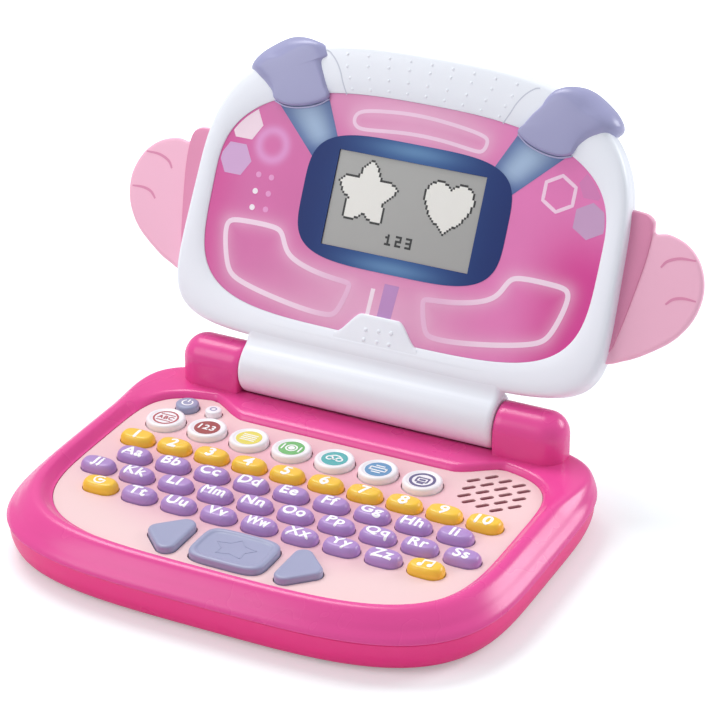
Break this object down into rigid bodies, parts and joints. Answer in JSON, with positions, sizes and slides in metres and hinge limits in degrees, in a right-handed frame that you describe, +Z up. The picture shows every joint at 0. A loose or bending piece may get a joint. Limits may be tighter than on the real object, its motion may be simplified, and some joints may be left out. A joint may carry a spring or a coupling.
{
  "type": "toy laptop computer",
  "caption": "Child's toy laptop: rounded clamshell base with press keys and round buttons, hinged lid with a screen, corner caps and side flaps.",
  "frame": {"origin": "centre of the base's footprint, on the surface that it stands on, 2 mm below the flat underside", "axes": "+X to the right along the hinge, +Y to the back, +Z up"},
  "size_m": [0.3166, 0.2659, 0.1957],
  "materials": {
    "pink_shell": "satin moulded ABS",
    "deep_pink_shell": "satin moulded ABS",
    "peach_deck": "satin, printed",
    "battery_wrap": "wrapped cell",
    "plated_steel": "nickel plated",
    "green_board": "solder mask",
    "clear_rubber": "milky silicone",
    "black_speaker": "paper cone and steel basket",
    "screw_steel": "zinc plated",
    "foot_rubber": "matt",
    "pin_steel": "ground",
    "white_shell": "satin moulded ABS",
    "printed_panel": "back-printed clear sheet",
    "lcd_glass": "grey liquid crystal display",
    "lavender_cap": "satin",
    "soft_pink_flap": "satin",
    "yellow_key": "satin",
    "grey_lavender_key": "satin",
    "white_button": "satin",
    "purple_key": "satin"
  },
  "bodies": {
    "base": {"lower_shell": "deep_pink_shell", "upper_shell": "pink_shell", "key_deck": "peach_deck", "battery_door": "deep_pink_shell", "batteries": "battery_wrap", "battery_contacts": "plated_steel", "main_board": "green_board", "dome_sheet": "clear_rubber", "speaker": "black_speaker", "base_screws": "screw_steel", "rubber_feet": "foot_rubber", "hinge_pins": "pin_steel"},
    "lid": {"lid_front_frame": "white_shell", "lid_rear_shell": "white_shell", "screen_panel": "printed_panel", "lcd_module": "lcd_glass", "ear_caps": "lavender_cap", "side_flaps": "soft_pink_flap", "lid_screws": "screw_steel"},
    "number_keys": {"number_keys": "yellow_key"},
    "function_key": {"function_key": "yellow_key"},
    "music_key": {"music_key": "yellow_key"},
    "left_button": {"left_button": "grey_lavender_key"},
    "select_button": {"select_button": "grey_lavender_key"},
    "right_button": {"right_button": "grey_lavender_key"},
    "power_button": {"power_button": "grey_lavender_key"},
    "volume_button": {"volume_button": "white_button"},
    "activity_button_1": {"activity_button_1": "white_button"},
    "activity_button_2": {"activity_button_2": "white_button"},
    "activity_button_3": {"activity_button_3": "white_button"},
    "activity_button_4": {"activity_button_4": "white_button"},
    "activity_button_5": {"activity_button_5": "white_button"},
    "activity_button_6": {"activity_button_6": "white_button"},
    "activity_button_7": {"activity_button_7": "white_button"},
    "key_a": {"key_a": "purple_key"},
    "key_b": {"key_b": "purple_key"},
    "key_c": {"key_c": "purple_key"},
    "key_d": {"key_d": "purple_key"},
    "key_e": {"key_e": "purple_key"},
    "key_f": {"key_f": "purple_key"},
    "key_g": {"key_g": "purple_key"},
    "key_h": {"key_h": "purple_key"},
    "key_i": {"key_i": "purple_key"},
    "key_j": {"key_j": "purple_key"},
    "key_k": {"key_k": "purple_key"},
    "key_l": {"key_l": "purple_key"},
    "key_m": {"key_m": "purple_key"},
    "key_n": {"key_n": "purple_key"},
    "key_o": {"key_o": "purple_key"},
    "key_p": {"key_p": "purple_key"},
    "key_q": {"key_q": "purple_key"},
    "key_r": {"key_r": "purple_key"},
    "key_s": {"key_s": "purple_key"},
    "key_t": {"key_t": "purple_key"},
    "key_u": {"key_u": "purple_key"},
    "key_v": {"key_v": "purple_key"},
    "key_w": {"key_w": "purple_key"},
    "key_x": {"key_x": "purple_key"},
    "key_y": {"key_y": "purple_key"},
    "key_z": {"key_z": "purple_key"}
  },
  "joints": [
    {"name": "lid_hinge", "type": "hinge", "parent": "base", "child": "lid", "pos_m": [0, 0.084, 0.0404], "axis": [1, 0, 0], "range_deg": [0, 116.6]},
    {"name": "number_keys_press", "type": "slide", "parent": "base", "child": "number_keys", "axis": [0, 0, -1], "range_m": [0, 0.0013], "stiffness_N_per_m": 3000, "springref_m": -0.0002},
    {"name": "function_key_press", "type": "slide", "parent": "base", "child": "function_key", "axis": [0, 0, -1], "range_m": [0, 0.0013], "stiffness_N_per_m": 400, "springref_m": -0.0002},
    {"name": "music_key_press", "type": "slide", "parent": "base", "child": "music_key", "axis": [0, 0, -1], "range_m": [0, 0.0013], "stiffness_N_per_m": 400, "springref_m": -0.0002},
    {"name": "left_button_press", "type": "slide", "parent": "base", "child": "left_button", "axis": [0, 0, -1], "range_m": [0, 0.0013], "stiffness_N_per_m": 400, "springref_m": -0.0002},
    {"name": "select_button_press", "type": "slide", "parent": "base", "child": "select_button", "axis": [0, 0, -1], "range_m": [0, 0.0013], "stiffness_N_per_m": 400, "springref_m": -0.0002},
    {"name": "right_button_press", "type": "slide", "parent": "base", "child": "right_button", "axis": [0, 0, -1], "range_m": [0, 0.0013], "stiffness_N_per_m": 400, "springref_m": -0.0002},
    {"name": "power_button_press", "type": "slide", "parent": "base", "child": "power_button", "axis": [0, 0, -1], "range_m": [0, 0.0013], "stiffness_N_per_m": 400, "springref_m": -0.0002},
    {"name": "volume_button_press", "type": "slide", "parent": "base", "child": "volume_button", "axis": [0, 0, -1], "range_m": [0, 0.0013], "stiffness_N_per_m": 400, "springref_m": -0.0002},
    {"name": "activity_button_1_press", "type": "slide", "parent": "base", "child": "activity_button_1", "axis": [0, 0, -1], "range_m": [0, 0.0013], "stiffness_N_per_m": 400, "springref_m": -0.0002},
    {"name": "activity_button_2_press", "type": "slide", "parent": "base", "child": "activity_button_2", "axis": [0, 0, -1], "range_m": [0, 0.0013], "stiffness_N_per_m": 400, "springref_m": -0.0002},
    {"name": "activity_button_3_press", "type": "slide", "parent": "base", "child": "activity_button_3", "axis": [0, 0, -1], "range_m": [0, 0.0013], "stiffness_N_per_m": 400, "springref_m": -0.0002},
    {"name": "activity_button_4_press", "type": "slide", "parent": "base", "child": "activity_button_4", "axis": [0, 0, -1], "range_m": [0, 0.0013], "stiffness_N_per_m": 400, "springref_m": -0.0002},
    {"name": "activity_button_5_press", "type": "slide", "parent": "base", "child": "activity_button_5", "axis": [0, 0, -1], "range_m": [0, 0.0013], "stiffness_N_per_m": 400, "springref_m": -0.0002},
    {"name": "activity_button_6_press", "type": "slide", "parent": "base", "child": "activity_button_6", "axis": [0, 0, -1], "range_m": [0, 0.0013], "stiffness_N_per_m": 400, "springref_m": -0.0002},
    {"name": "activity_button_7_press", "type": "slide", "parent": "base", "child": "activity_button_7", "axis": [0, 0, -1], "range_m": [0, 0.0013], "stiffness_N_per_m": 400, "springref_m": -0.0002},
    {"name": "key_a_press", "type": "slide", "parent": "base", "child": "key_a", "axis": [0, 0, -1], "range_m": [0, 0.0013], "stiffness_N_per_m": 400, "springref_m": -0.0002},
    {"name": "key_b_press", "type": "slide", "parent": "base", "child": "key_b", "axis": [0, 0, -1], "range_m": [0, 0.0013], "stiffness_N_per_m": 400, "springref_m": -0.0002},
    {"name": "key_c_press", "type": "slide", "parent": "base", "child": "key_c", "axis": [0, 0, -1], "range_m": [0, 0.0013], "stiffness_N_per_m": 400, "springref_m": -0.0002},
    {"name": "key_d_press", "type": "slide", "parent": "base", "child": "key_d", "axis": [0, 0, -1], "range_m": [0, 0.0013], "stiffness_N_per_m": 400, "springref_m": -0.0002},
    {"name": "key_e_press", "type": "slide", "parent": "base", "child": "key_e", "axis": [0, 0, -1], "range_m": [0, 0.0013], "stiffness_N_per_m": 400, "springref_m": -0.0002},
    {"name": "key_f_press", "type": "slide", "parent": "base", "child": "key_f", "axis": [0, 0, -1], "range_m": [0, 0.0013], "stiffness_N_per_m": 400, "springref_m": -0.0002},
    {"name": "key_g_press", "type": "slide", "parent": "base", "child": "key_g", "axis": [0, 0, -1], "range_m": [0, 0.0013], "stiffness_N_per_m": 400, "springref_m": -0.0002},
    {"name": "key_h_press", "type": "slide", "parent": "base", "child": "key_h", "axis": [0, 0, -1], "range_m": [0, 0.0013], "stiffness_N_per_m": 400, "springref_m": -0.0002},
    {"name": "key_i_press", "type": "slide", "parent": "base", "child": "key_i", "axis": [0, 0, -1], "range_m": [0, 0.0013], "stiffness_N_per_m": 400, "springref_m": -0.0002},
    {"name": "key_j_press", "type": "slide", "parent": "base", "child": "key_j", "axis": [0, 0, -1], "range_m": [0, 0.0013], "stiffness_N_per_m": 400, "springref_m": -0.0002},
    {"name": "key_k_press", "type": "slide", "parent": "base", "child": "key_k", "axis": [0, 0, -1], "range_m": [0, 0.0013], "stiffness_N_per_m": 400, "springref_m": -0.0002},
    {"name": "key_l_press", "type": "slide", "parent": "base", "child": "key_l", "axis": [0, 0, -1], "range_m": [0, 0.0013], "stiffness_N_per_m": 400, "springref_m": -0.0002},
    {"name": "key_m_press", "type": "slide", "parent": "base", "child": "key_m", "axis": [0, 0, -1], "range_m": [0, 0.0013], "stiffness_N_per_m": 400, "springref_m": -0.0002},
    {"name": "key_n_press", "type": "slide", "parent": "base", "child": "key_n", "axis": [0, 0, -1], "range_m": [0, 0.0013], "stiffness_N_per_m": 400, "springref_m": -0.0002},
    {"name": "key_o_press", "type": "slide", "parent": "base", "child": "key_o", "axis": [0, 0, -1], "range_m": [0, 0.0013], "stiffness_N_per_m": 400, "springref_m": -0.0002},
    {"name": "key_p_press", "type": "slide", "parent": "base", "child": "key_p", "axis": [0, 0, -1], "range_m": [0, 0.0013], "stiffness_N_per_m": 400, "springref_m": -0.0002},
    {"name": "key_q_press", "type": "slide", "parent": "base", "child": "key_q", "axis": [0, 0, -1], "range_m": [0, 0.0013], "stiffness_N_per_m": 400, "springref_m": -0.0002},
    {"name": "key_r_press", "type": "slide", "parent": "base", "child": "key_r", "axis": [0, 0, -1], "range_m": [0, 0.0013], "stiffness_N_per_m": 400, "springref_m": -0.0002},
    {"name": "key_s_press", "type": "slide", "parent": "base", "child": "key_s", "axis": [0, 0, -1], "range_m": [0, 0.0013], "stiffness_N_per_m": 400, "springref_m": -0.0002},
    {"name": "key_t_press", "type": "slide", "parent": "base", "child": "key_t", "axis": [0, 0, -1], "range_m": [0, 0.0013], "stiffness_N_per_m": 400, "springref_m": -0.0002},
    {"name": "key_u_press", "type": "slide", "parent": "base", "child": "key_u", "axis": [0, 0, -1], "range_m": [0, 0.0013], "stiffness_N_per_m": 400, "springref_m": -0.0002},
    {"name": "key_v_press", "type": "slide", "parent": "base", "child": "key_v", "axis": [0, 0, -1], "range_m": [0, 0.0013], "stiffness_N_per_m": 400, "springref_m": -0.0002},
    {"name": "key_w_press", "type": "slide", "parent": "base", "child": "key_w", "axis": [0, 0, -1], "range_m": [0, 0.0013], "stiffness_N_per_m": 400, "springref_m": -0.0002},
    {"name": "key_x_press", "type": "slide", "parent": "base", "child": "key_x", "axis": [0, 0, -1], "range_m": [0, 0.0013], "stiffness_N_per_m": 400, "springref_m": -0.0002},
    {"name": "key_y_press", "type": "slide", "parent": "base", "child": "key_y", "axis": [0, 0, -1], "range_m": [0, 0.0013], "stiffness_N_per_m": 400, "springref_m": -0.0002},
    {"name": "key_z_press", "type": "slide", "parent": "base", "child": "key_z", "axis": [0, 0, -1], "range_m": [0, 0.0013], "stiffness_N_per_m": 400, "springref_m": -0.0002}
  ]
}
